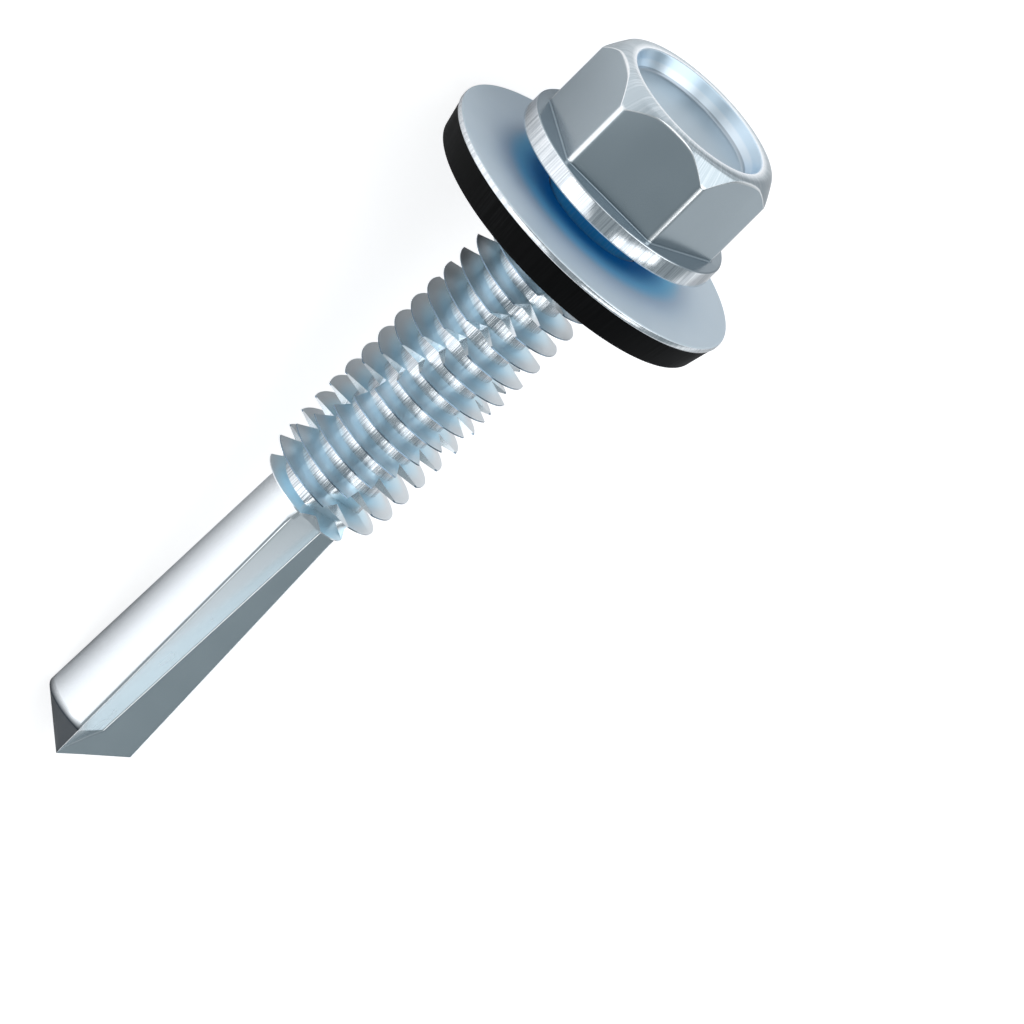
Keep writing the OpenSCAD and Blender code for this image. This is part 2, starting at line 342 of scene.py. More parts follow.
class Skin:
    """Points and faces of one mesh on the upright screw, with marks that tell its finish."""

    def __init__(self):
        self.points = []
        self.faces = []
        self.marks = {}

    def line(self, points, **marks):
        """Adds points and returns their numbers. A mark is one value, or a list with one for each
        point."""
        start = len(self.points)
        self.points.extend(Vector(p) for p in points)
        numbers = list(range(start, len(self.points)))
        for name, values in marks.items():
            each = values if isinstance(values, list) else [values] * len(numbers)
            self.marks.setdefault(name, {}).update(zip(numbers, each))
        return numbers

    def strip(self, upper, lower, closed=True):
        """Faces between two lines of as many points."""
        count = len(upper)
        for i in range(count if closed else count - 1):
            n = (i + 1) % count
            self.faces.append((upper[i], upper[n], lower[n], lower[i]))

    def fan(self, tip, line, closed=True):
        """Triangles from one point to a line of points."""
        count = len(line)
        for i in range(count if closed else count - 1):
            self.faces.append((tip, line[i], line[(i + 1) % count]))

    def gap(self, one, other):
        return (self.points[one] - self.points[other]).length

    def join(self, upper, lower):
        """Triangles between two closed rings of one shape but of unlike points."""
        nearest = min(range(len(lower)), key=lambda k: self.gap(upper[0], lower[k]))
        above = [*upper, upper[0]]
        below = [*lower[nearest:], *lower[:nearest], lower[nearest]]
        i = j = 0
        while i < len(above) - 1 or j < len(below) - 1:
            over, under = i < len(above) - 1, j < len(below) - 1
            if over and under:
                over = self.gap(above[i + 1], below[j]) <= self.gap(above[i], below[j + 1])
            if over:
                self.faces.append((above[i], above[i + 1], below[j]))
                i += 1
            else:
                self.faces.append((above[i], below[j + 1], below[j]))
                j += 1

    def revolve(self, outline, steps):
        """Turns a closed outline of distances and heights round the axis."""
        turns = [2 * pi * k / steps for k in range(steps)]
        rings = [self.line(around(turn, reach, height) for turn in turns) for reach, height in outline]
        for upper, lower in zip(rings, rings[1:] + rings[:1]):
            self.strip(upper, lower)

    def object(self, name):
        """Makes the mesh and its object, with all faces turned outwards."""
        mesh = bpy.data.meshes.new(name)
        mesh.from_pydata(self.points, [], self.faces)
        for mark, values in self.marks.items():
            written = mesh.attributes.new(mark, "FLOAT", "POINT")
            written.data.foreach_set("value", [values.get(k, 0.0) for k in range(len(self.points))])
        shape = bmesh.new()
        shape.from_mesh(mesh)
        bmesh.ops.recalc_face_normals(shape, faces=shape.faces)
        shape.to_mesh(mesh)
        shape.free()
        made = bpy.data.objects.new(name, mesh)
        bpy.context.scene.collection.objects.link(made)
        return made


def hexagon(head):
    """Angle, distance and painted highlight of the points round the hexagon, with its rounded corners."""
    apothem, rounding = head.across_flats / 2, head.corner_round
    side_turn = 2 * pi / HEX_SIDES
    foot = (apothem - rounding) * tan(side_turn / 2)
    points = []
    for side in range(HEX_SIDES):
        turn = side_turn * side
        for k in range(FLAT_STEPS):
            x = foot * (2 * k / FLAT_STEPS - 1)
            points.append((turn + atan2(x, apothem), hypot(x, apothem), 0.0))
        for k in range(CORNER_STEPS):
            lean = side_turn * k / CORNER_STEPS
            x = foot + rounding * sin(lean)
            y = apothem - rounding + rounding * cos(lean)
            points.append((turn + atan2(x, y), hypot(x, y), sin(pi * k / CORNER_STEPS)))
    return points


def recess_outline(head):
    """Outline of the recess, from near the middle of its floor to its rim."""
    depth = head.height - head.recess_depth
    floor_reach = head.recess_floor_width / 2
    edge, mouth = (floor_reach, depth), (head.recess_width / 2, head.height)
    inward = (floor_reach * DISH_EDGE, depth - head.recess_dish * DISH_EDGE_DROP)
    outward = (mouth[0] + head.recess_round, head.height)
    dish = [(floor_reach * s, depth - head.recess_dish * (1 - s * s)) for s in DISH_PLACES]
    return (
        dish
        + bend(inward, edge, mouth, head.recess_round, ROUND_STEPS)
        + bend(edge, mouth, outward, head.recess_round, ROUND_STEPS)
    )


def crown_outline(head, reach):
    """Outlines of the crown over a wall at a distance from the axis, and of the arch's rounded edge.
    The crown is round next to the top and runs into a cone."""
    blend, full, slope = head.arch_round, head.crown_round, head.crown_slope
    middle = Vector((head.crown_width / 2, head.height - full))
    inner = full - blend
    side = reach - blend - middle.x
    if side < inner * sin(slope):
        lean, cone = atan2(side, sqrt(inner * inner - side * side)), 0.0
    else:
        lean, cone = slope, (side - inner * sin(slope)) / cos(slope)
    round_part = full * lean

    def crown_at(way):
        if way <= round_part:
            return middle + full * Vector((sin(way / full), cos(way / full)))
        down = Vector((cos(slope), -sin(slope))) * (way - round_part)
        return middle + full * Vector((sin(slope), cos(slope))) + down

    crown = [crown_at((round_part + cone) * k / CROWN_STEPS) for k in range(CROWN_STEPS)]
    centre = crown_at(round_part + cone) - blend * Vector((sin(lean), cos(lean)))
    arch = [
        centre + blend * Vector((sin(a), cos(a)))
        for a in (lean + (pi / 2 - lean) * k / BLEND_STEPS for k in range(BLEND_STEPS + 1))
    ]
    return crown, arch


def foot_outline(head, shank, root_reach):
    """Outline from the flange's top round its rim and down the neck to the start of the thread."""
    rim, top = head.flange_width / 2, head.flange_height
    neck, bottom = shank.neck_width / 2, -shank.neck_length
    inner = (rim - head.flange_round, top)
    return (
        bend(inner, (rim, top), (rim, 0), head.flange_round, ROUND_STEPS)
        + bend((rim, top), (rim, 0), (neck, 0), head.flange_round, ROUND_STEPS)
        + bend((rim, 0), (neck, 0), (neck, bottom), shank.neck_round, ROUND_STEPS)
        + [(neck, bottom), (root_reach, bottom - shank.neck_cone)]
    )


def add_head(skin, head, shank, root_reach):
    """Adds the head, the flange and the neck, and returns the neck's lowest ring."""
    columns = hexagon(head)
    recess = recess_outline(head)
    foot = foot_outline(head, shank, root_reach)
    rim = (head.flange_width / 2, head.flange_height)
    outlines = []
    for _, reach, _ in columns:
        crown, arch = crown_outline(head, reach)
        wall = (reach, head.flange_height)
        hollow = bend((reach, head.height), wall, rim, head.foot_round, ROUND_STEPS)
        outlines.append([recess, crown, arch, hollow, foot])
    worn_corners = [worn for _, _, worn in columns]
    rings = []
    for part, name in enumerate(("recess", "crown", "arch", "hollow", "foot")):
        count = len(outlines[0][part])
        for k in range(count):
            worn = [0.0] * len(columns)
            # The arch, and the foot next to the corners, get a painted highlight
            if name == "arch":
                worn = [max(corner, sin(pi * k / (count - 1))) for corner in worn_corners]
            if name == "hollow" and k < GLINT_FOOT_RINGS:
                worn = worn_corners
            points = [
                around(turn, *outline[part][k]) for (turn, _, _), outline in zip(columns, outlines)
            ]
            # The crown, the arch and the hollow at the head's foot get a painted shade
            dull = 1.0 if name in ("crown", "arch", "hollow") else 0.0
            rings.append(skin.line(points, dull=dull, worn=worn))
    middle = skin.line([(0, 0, head.height - head.recess_depth - head.recess_dish)])
    skin.fan(middle[0], rings[0])
    for upper, lower in zip(rings, rings[1:]):
        skin.strip(upper, lower)
    return rings[-1]


class FluteShape:
    """The drill with its two flutes. One wall of a flute lies in the plane of the axis, and the other
    leads from the flute's bottom line to the edge at the near side."""

    def __init__(self, drill, shank):
        self.drill = drill
        self.top = drill.length - shank.length
        self.low = -shank.length
        self.shoulder = self.low + drill.point_height

    def web_at(self, height):
        """Distance of the bottom line from the axis. It closes towards the point and opens upwards."""
        drill = self.drill
        if height < self.shoulder:
            part = max(0.0, (height - self.low) / drill.point_height)
            return max(drill.web_point, drill.web_shoulder * part**drill.web_bend)
        if height <= self.top:
            part = (self.top - height) / (self.top - self.shoulder)
            return drill.web_top + (drill.web_shoulder - drill.web_top) * part
        part = min(1.0, (height - self.top) / (OPEN_RISE * drill.flute_rise))
        return drill.web_top + (drill.top_width / 2 - drill.web_top) * part * part

    def reach_of(self, turn, height, reach):
        """Distance of the skin from the axis where a flute runs out above the drill."""
        part = (height - self.top) / self.drill.flute_rise
        turn = turn % pi
        if part > 1 or turn >= pi / 2:
            return reach
        shift = self.drill.flute_end * max(0.0, 2 * part - 1) ** END_POWER
        web = self.web_at(height)
        across = sin(turn) / web + cos(turn) / (self.drill.top_width / 2)
        offset = shift * (1 / web + 2 / self.drill.top_width)
        to_wall = (1 + offset) / across
        to_side = shift / max(TINY, cos(turn))
        return min(reach, max(to_wall, to_side))

    def half_ring(self, reach, height):
        """Half of the drill's section: an edge, both walls of a flute, the other edge and the land.
        Each point comes with its marks for the painted shade in the flute's hollow and for painted
        highlights on edges."""
        drill = self.drill
        down = max(0.0, min(1.0, (self.top - height) / (self.top - self.shoulder)))
        broken = drill.edge_top + (drill.edge_low - drill.edge_top) * down
        fade = min(1.0, EDGE_START + (self.top - height) / EDGE_FADE)
        broken = min(broken, reach * EDGE_SHARE) * fade
        web = min(self.web_at(height), reach * WEB_SHARE)
        bottom, edge, side = Vector((web, 0)), Vector((0, -reach)), Vector((reach, 0))
        along = (edge - bottom).normalized()
        rounding = min(drill.flute_round, web * ROUND_SHARE)
        floor_bend = bend(side, bottom, edge, rounding, ROUND_STEPS)
        floor_bend.reverse()
        outer_width = min(drill.edge_out, reach * EDGE_SHARE)
        wall, outer = edge - along * broken, Vector((reach - outer_width * EDGE_ON_WALL, 0))
        before, after = broken * EDGE_ON_LAND / reach, outer_width / reach
        land = Vector((-sin(before), -cos(before))) * reach
        far = Vector((cos(after), sin(after))) * reach
        points = []

        def add(where, hollow, worn):
            points.append((where, hollow, worn))

        for t in BROKEN_PLACES:
            add(curve(land, edge, wall, t), t * NEAR_WALL, sin(pi * t))
        for part in WALL_PLACES:
            add(wall.lerp(floor_bend[0], part), NEAR_WALL, 0)
        for k, where in enumerate(floor_bend):
            part = k / ROUND_STEPS
            add(where, NEAR_WALL + (1 - NEAR_WALL) * part, sin(pi * part))
        for part in WALL_PLACES:
            add(floor_bend[-1].lerp(outer, part), 1, 0)
        for t in LEADING_PLACES:
            add(curve(outer, side, far, t), 1 - t, sin(pi * t))
        start, end = pi / 2 + after, pi - before
        for k in range(1, ARC_STEPS):
            add(around(start + (end - start) * k / ARC_STEPS, reach, 0).xy, 0, 0)
        return points

    def outline(self):
        """Distances and heights of the drill's rings, from its top round the shoulder to its point."""
        drill = self.drill
        start, end = Vector((drill.top_width / 2, self.top)), Vector((0, self.low))
        edge = (drill.width / 2, self.shoulder)
        shoulder = bend(start, edge, end, drill.shoulder_round, ROUND_STEPS)
        body = [start.lerp(shoulder[0], part) for part in BODY_PLACES]
        point_places = [*(k / POINT_STEPS for k in range(1, POINT_STEPS)), POINT_END]
        return body + shoulder + [shoulder[-1].lerp(end, part) for part in point_places]


def add_drill(skin, flutes):
    """Adds the drill and returns its top ring."""
    rings = []
    for reach, height in flutes.outline():
        half = flutes.half_ring(reach, height)
        points, hollow, worn = [], [], []
        for way in (1, -1):
            points += [(way * where.x, way * where.y, height) for where, _, _ in half]
            hollow += [mark for _, mark, _ in half]
            worn += [mark for _, _, mark in half]
        # Below this height the point gets a painted shade
        tip = 1.0 if height < flutes.shoulder + POINT_SHADE_START else 0.0
        rings.append(skin.line(points, hollow=hollow, worn=worn, tip=tip))
    for upper, lower in zip(rings, rings[1:]):
        skin.strip(upper, lower)
    point = skin.line([(0, 0, flutes.low)], tip=1.0)
    skin.fan(point[0], rings[-1])
    return rings[0]


class ThreadShape:
    """Places on the thread's skin, a grid of turns and of columns that turn with the notches."""

    def __init__(self, thread, shank, flutes):
        self.root = thread.root_width / 2
        self.ridge = thread.width / 2 - self.root
        self.thread = thread
        self.flutes = flutes
        self.drill_top = flutes.drill.top_width / 2
        self.top = -shank.neck_length - shank.neck_cone
        self.low = flutes.top
        self.widen = thread.run_out * thread.pitch
        self.row = self.row_columns()
        self.columns = len(self.row) * thread.notch_rows
        self.twist = thread.notch_twist / MM
        self.column_pitch = thread.pitch / (1 + thread.pitch * self.twist / (2 * pi))
        margin = thread.ridge_base / 2 + thread.bare_root
        self.start = self.top - margin
        self.turns = (self.start - self.low - margin) / self.column_pitch
        rest = 2 * pi * (self.turns - floor(self.turns))
        part = sum(1 for i in range(self.columns) if self.column(i)[0] <= rest)
        self.steps = floor(self.turns) * self.columns + part - 1

    def row_columns(self):
        """Angle and share of the ridge's height of each column of one row, from a notch's bottom."""
        thread = self.thread
        row = 2 * pi / thread.notch_rows
        half = thread.notch_half
        low, high = self.root + thread.notch_left, self.root + self.ridge
        slope = (1 / high - cos(half) / low) / sin(half)

        def cut(turn):
            return (1 / (cos(turn) / low + slope * sin(turn)) - self.root) / self.ridge

        rise = [half * k / NOTCH_STEPS for k in range(NOTCH_STEPS)]
        land = [half + (row - 2 * half) * k / LAND_STEPS for k in range(LAND_STEPS + 1)]
        return (
            [(turn, cut(turn)) for turn in rise]
            + [(turn, 1.0) for turn in land]
            + [(row - turn, cut(turn)) for turn in reversed(rise[1:])]
        )

    def column(self, i):
        """Angle past the first notch, and share of the ridge's height, of column i."""
        count = len(self.row)
        turn, cut = self.row[i % count]
        return i % self.columns // count * 2 * pi / self.thread.notch_rows + turn, cut

    def turn_at(self, i, height):
        turn = self.column(i)[0] + self.thread.notch_start + self.twist * height
        return -turn if self.thread.hand > 0 else turn

    def root_at(self, height):
        """Distance of the root from the axis, which widens to the drill where the ridge fades."""
        part = max(0.0, min(1.0, (self.low + self.widen - height) / self.widen))
        return self.root + (self.drill_top - self.root) * part

    def root_turn(self, i, height):
        """Angle of a column on the root. Next to the edges of the flutes the columns move up to them."""
        turn = self.turn_at(i, height)
        edge = round(turn / (pi / 2)) * pi / 2
        beside = (turn - edge) / EDGE_PULL
        if height > self.flutes.top + self.flutes.drill.flute_rise or abs(beside) > 1:
            return turn
        return edge + EDGE_PULL * beside**PULL_POWER

    def root_point(self, i, height):
        """A point of the root, or of a flute that runs out in it."""
        turn = self.root_turn(i, height)
        return around(turn, self.flutes.reach_of(turn, height, self.root_at(height)), height)

    def hollow_at(self, i, height):
        """The near wall's mark for the painted shade in a flute, 0 on the root."""
        turn, root = self.root_turn(i, height), self.root_at(height)
        depth = root - self.flutes.reach_of(turn, height, root)
        return NEAR_WALL * min(1.0, depth / GREY_DEPTH)

    def worn_at(self, i, height):
        """1 on the near edge of a flute that runs out in the root, where a highlight is painted."""
        beside = abs((self.root_turn(i, height) + pi / 2) % pi - pi / 2)
        low = height < self.flutes.top + self.flutes.drill.flute_rise / 2
        return 1.0 if low and beside < EDGE_GLINT else 0.0

    def crest_point(self, i, height, rise):
        return around(self.turn_at(i, height), self.root_at(height) + rise, height)

    def ridge_share(self, turns):
        """Share of the ridge's height that is there so many turns from its start."""

        def fade(u):
            return 1.0 if u <= 0 else max(0.0, 1 - u * u)

        left = self.turns - turns
        return fade(1 - turns / self.thread.run_in) * fade(1 - left / self.thread.run_out)

    def section(self, step):
        """The ridge's section from its upper foot over its crest to its lower foot, with its marks."""
        thread = self.thread
        turn, cut = self.column(step % self.columns)
        turns = step // self.columns + turn / (2 * pi)
        height = self.start - self.column_pitch * turns
        whole = self.ridge_share(turns)
        rise = self.ridge * whole * cut
        foot, half = thread.ridge_base / 2, thread.ridge_crest / 2
        sink = (foot - half) * (1 - whole) * CREST_SINK
        upper = foot * (1 - cut) * NOTCH_FOOT + (half - sink) * cut
        lower = foot * (1 - cut) * NOTCH_FOOT + (half + sink) * cut
        over, under = height + foot, height - foot
        points = [
            self.root_point(step, over),
            self.crest_point(step, height + upper, rise),
            self.crest_point(step, height - lower, rise),
            self.root_point(step, under),
        ]
        hollow = [self.hollow_at(step, over), 0.0, 0.0, self.hollow_at(step, under)]
        worn = [self.worn_at(step, over), 0.0, 0.0, self.worn_at(step, under)]
        return points, hollow, worn

    def ring(self, height):
        """The root all round at one height, with its marks."""
        columns = range(self.columns)
        return tuple(
            [place(i, height) for i in columns]
            for place in (self.root_point, self.hollow_at, self.worn_at)
        )


def add_thread(skin, shape):
    """Adds the thread and returns its top and its bottom ring, counted to the right."""
    feet = []
    for step in range(shape.steps + 1):
        points, hollow, worn = shape.section(step)
        feet.append(skin.line(points, flank=1.0, hollow=hollow, worn=worn))
    top = skin.line(shape.ring(shape.top)[0])
    points, hollow, worn = shape.ring(shape.low + JOIN_RISE)
    low = skin.line(points, hollow=hollow, worn=worn)
    count, end = shape.columns, shape.steps
    last = end - count
    for step in range(end):
        skin.strip(feet[step], feet[step + 1], closed=False)
    skin.strip([foot[-1] for foot in feet[: last + 1]], [foot[0] for foot in feet[count:]], closed=False)
    skin.strip(top, [foot[0] for foot in feet[:count]], closed=False)
    skin.fan(top[-1], [top[0], *feet[0], feet[count][0], feet[count - 1][0]], closed=False)
    order = [(step % count) for step in range(last + 1, end + 1)]
    skin.strip([foot[-1] for foot in feet[last + 1 :]], [low[i] for i in order], closed=False)
    ends = [low[(last + 1) % count], low[last % count], *reversed(feet[end]), feet[last][-1]]
    skin.fan(feet[last + 1][-1], ends, closed=False)
    if shape.thread.hand > 0:
        return top[::-1], low[::-1]
    return top, low


def lay_down(piece, body, node, material):
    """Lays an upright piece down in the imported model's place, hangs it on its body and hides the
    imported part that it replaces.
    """
    piece.data.transform(resting_place(settings().head))
    piece.data.shade_smooth()
    piece.data.set_sharp_from_angle(angle=SMOOTH_ANGLE)
    weighted = piece.modifiers.new("even shading", "WEIGHTED_NORMAL")
    weighted.keep_sharp = True
    piece.data.materials.append(material)
    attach(piece, body)
    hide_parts(node)


class Value:
    """A socket in a node tree. Arithmetic on it adds Math nodes."""

    def __init__(self, nodes, socket):
        self.nodes = nodes
        self.socket = socket

    def math(self, operation, *terms):
        return self.nodes.add("ShaderNodeMath", {"operation": operation}, dict(enumerate(terms)))

    def __add__(self, other):
        return self.math("ADD", self, other)

    def __radd__(self, other):
        return self.math("ADD", other, self)

    def __sub__(self, other):
        return self.math("SUBTRACT", self, other)

    def __rsub__(self, other):
        return self.math("SUBTRACT", other, self)

    def __mul__(self, other):
        return self.math("MULTIPLY", self, other)

    def __rmul__(self, other):
        return self.math("MULTIPLY", other, self)

    def __truediv__(self, other):
        return self.math("DIVIDE", self, other)

    def __pow__(self, other):
        return self.math("POWER", self, other)

    def __abs__(self):
        return self.math("ABSOLUTE", self)

    def most(self, other):
        """The higher of two values."""
        return self.math("MAXIMUM", self, other)


# How many octaves there are in clouds, and in grain and streaks
CLOUD_DETAIL, FINE_DETAIL = 2.0, 3.0


class Nodes:
    """A node tree that is written from Python expressions."""

    def __init__(self, owner):
        owner.use_nodes = True
        self.tree = owner.node_tree
        self.tree.nodes.clear()

    def add(self, kind, options=None, values=None, output=0):
        """Adds a node, sets its options, then fills its sockets, and returns one of its outputs."""
        node = self.tree.nodes.new(kind)
        for name, option in (options or {}).items():
            setattr(node, name, option)
        for name, value in (values or {}).items():
            if isinstance(value, Value):
                self.tree.links.new(value.socket, node.inputs[name])
            else:
                node.inputs[name].default_value = value
        return Value(self, node.outputs[output]) if node.outputs else node

    def mix(self, factor, first, second):
        """A blend of two colours, whose sockets only their numbers tell apart."""
        values = {0: factor, 6: with_alpha(first), 7: with_alpha(second)}
        return self.add("ShaderNodeMix", {"data_type": "RGBA"}, values, output=2)

    def vector(self, operation, *terms, output="Vector"):
        options = {"operation": operation}
        return self.add("ShaderNodeVectorMath", options, dict(enumerate(terms)), output)

    def ramp(self, value, low, high):
        """0 below low, 1 above high, and a smooth rise between them."""
        if low > high:
            return 1 - self.ramp(value, high, low)
        return self.add(
            "ShaderNodeMapRange",
            {"interpolation_type": "SMOOTHSTEP"},
            {"Value": value, "From Min": low, "From Max": high},
        )

    def noise(self, place, scale, detail):
        return self.add("ShaderNodeTexNoise", {}, {"Vector": place, "Scale": scale, "Detail": detail})

    def combine(self, x, y, z):
        return self.add("ShaderNodeCombineXYZ", {}, {"X": x, "Y": y, "Z": z})

    def separate(self, place, axis):
        return self.add("ShaderNodeSeparateXYZ", {}, {"Vector": place}, axis)


def with_alpha(value):
    return value if isinstance(value, Value) else (*value, 1.0)


class Finish(Nodes):
    """A material whose pattern follows the screw's own axis."""

    def __init__(self, name):
        self.material = bpy.data.materials.new(name)
        super().__init__(self.material)
        place = self.add("ShaderNodeTexCoord", output="Object")
        resting = resting_place(settings().head)
        from_origin = self.vector("SUBTRACT", place, resting.translation)
        right, back, self.up = (resting.col[k].xyz for k in range(3))
        self.x, self.y, self.height = (
            self.vector("DOT_PRODUCT", from_origin, way, output="Value") * (1 / MM)
            for way in (right, back, self.up)
        )
        self.reach = (self.x * self.x + self.y * self.y) ** 0.5
        self.millimetres = self.combine(self.x, self.y, self.height)

    def mark(self, name):
        """A mark that the mesh carries, such as where highlights are painted along its edges."""
        return self.add("ShaderNodeAttribute", {"attribute_name": name}, output="Fac")

    def beside(self, value, place, span):
        """A ramp over a span of millimetres that is counted from a place."""
        return self.ramp(value, place + span[0], place + span[1])

    def facing_axis(self):
        """1 where the surface faces along the axis, 0 where it faces sideways."""
        normal = self.add("ShaderNodeNewGeometry", output="Normal")
        return abs(self.vector("DOT_PRODUCT", normal, self.up, output="Value"))

    def streaks(self, fineness, along, span):
        """Fine lines that run along the axis, or round it where along is high. The span is the part of
        the noise that they fade in over."""
        x, y = (side / self.reach * fineness for side in (self.x, self.y))
        place = self.combine(x, y, self.height * along)
        return self.ramp(self.noise(place, 1.0, FINE_DETAIL), *span)

    def clouds(self, scale):
        """Soft patches all over, as many as the scale for each millimetre."""
        return self.noise(self.millimetres, scale, CLOUD_DETAIL)

    def grain(self, scale):
        """The same with finer specks."""
        return self.noise(self.millimetres, scale, FINE_DETAIL)

    def bump(self, height, strength, depth):
        """A normal that follows a height. The depth is in metres."""
        values = {"Strength": strength, "Distance": depth, "Height": height}
        return self.add("ShaderNodeBump", {}, values)

    def surface(self, constants, **links):
        """The Principled shader, its constants and what varies."""
        values = {**constants, **{name.replace("_", " "): link for name, link in links.items()}}
        shader = self.add("ShaderNodeBsdfPrincipled", {}, values)
        self.add("ShaderNodeOutputMaterial", {}, {"Surface": shader})
        return self.material


# Streaks: their fineness, how fast they change along the axis, and the span of noise that shows them
ZINC_STREAKS = (20.0, 0.12, (0.42, 0.62))
FINE_STREAKS = (60.0, 0.3, (0.4, 0.65))
DISC_STREAKS = (30.0, 0.12, (0.42, 0.62))
RUBBER_STREAKS = (70.0, 0.3, (0.35, 0.7))

# How fine the clouds and the grain of the zinc, the disc and the rubber are, for each millimetre
ZINC_CLOUDS, ZINC_GRAIN = 0.6, 14.0
DISC_CLOUDS, DISC_GRAIN = 0.35, 12.0
RUBBER_CLOUDS, RUBBER_GRAIN = 0.3, 20.0
RUBBER_CLOUD_SPAN = (0.4, 0.65)

# Spans in which looks of the plating set in, in millimetres up or outwards from the place behind each.
# Over a span that is written backwards a look ends.
CREST_SPAN = (-0.12, -0.06)  # the crest
BARE_SPAN = (0.3, 0.15)  # the root
MOUTH_SPAN = (0.06, -0.02)  # the recess's mouth
RECESS_SPAN = (-0.4, -0.2)  # the recess's depth
# The band is a painted highlight on the lower part of the recess's wall
BAND_SPAN = (-0.34, -0.44)  # the top of the head, for the band under the recess's rim
# The corner and the floor of the recess get painted shade
CORNER_SPAN = (0.14, 0.1)  # the recess's depth, for the corner round its floor
FLOOR_SPAN = (0.02, 0.005)  # the recess's depth, for its floor
# The flange's top gets painted shade
FLANGE_SPANS = ((-0.05, -0.01), (0.15, 0.05))  # the flange's top, for where its look starts and ends
ABOVE_SPAN = (-0.1, 0.0)  # the start of the thread
# The neck between the flange and the disc gets a painted deep blue shade
GAP_TOP_SPAN = (0.04, 0.0)  # the flange's underside
GAP_LOW_SPAN = (-0.35, 0.05)  # the disc's top
DRILL_SPAN = (0.5, 0.9)  # the start of the drill
DISC_SPAN = (-0.06, -0.02)  # the disc's top
# The disc under the flange gets a painted blue shade, pale outside and deep inside
UNDER_SPAN = (-0.2, -1.1)  # the flange's rim, for the pale blue on the disc
DEEP_SPAN = (-1.0, -2.2)  # the flange's rim, for the deep blue on the disc

# How far the pale part of a flank stays off the root and off the crest, in millimetres
PALE_OFF_ROOT, PALE_OFF_CREST = 0.2, 0.25

# How much a face faces along the axis where it starts to be a flank, and stops being a crest
FLANK_FACING, CREST_FACING = (0.15, 0.45), (0.7, 0.4)

# How strongly the painted highlight on the recess's lower wall, the painted shade in the corner round its
# floor, the painted shade on the crests and the flats' sheen show
BAND, CORNER, CREST, SHEEN = 0.4, 0.8, 0.85, 0.3

# How strong the painted blue shade in the gap is, how much its streaks show, and how much less of a mirror
# it is
GAP_SHADE_STRENGTH, GAP_STREAKS, GAP_PAINT = 0.98, 0.06, 0.5

# How much paler and flatter the zinc's streaks are above the thread
ABOVE_PALER, ABOVE_FLATTER = 0.15, 0.75

# How strongly the clouds and the streaks of the disc and of the rubber show
DISC_CLOUDY, DISC_STREAKY = 0.3, 0.3
RUBBER_CLOUDY, RUBBER_STREAKY = 0.3, 0.08

# How much rougher than the rest of its finish each look is
ZINC_ROUGHER = {
    "clouds": 0.05, "grey": 0.08, "recess": 0.16, "flank": 0.2, "point": 0.3, "wall": 0.2, "gap": 0.4
}
DISC_ROUGHER = {"top": 0.4, "clouds": 0.08}
RUBBER_ROUGHER = {"clouds": 0.1, "streaks": 0.08}

# How high streaks and grain stand out, as shares of the depth of the bump
ZINC_HEIGHTS = {"streaks": 0.4, "fine": 0.2, "grain": 0.02}
RUBBER_HEIGHTS = {"streaks": 0.3, "grain": 0.5}

# Strength and depth of each bump
ZINC_BUMP = (0.4, 0.02 * MM)
DISC_BUMP = (0.06, 0.02 * MM)
RUBBER_BUMP = (0.08, 0.03 * MM)

# How much light the rubber mirrors, where 0.5 is usual
RUBBER_SHINE = 0.05


def weighted(shares, looks):
    """The sum of looks, each times its share."""
    parts = [looks[name] * share for name, share in shares.items()]
    return sum(parts[1:], parts[0])


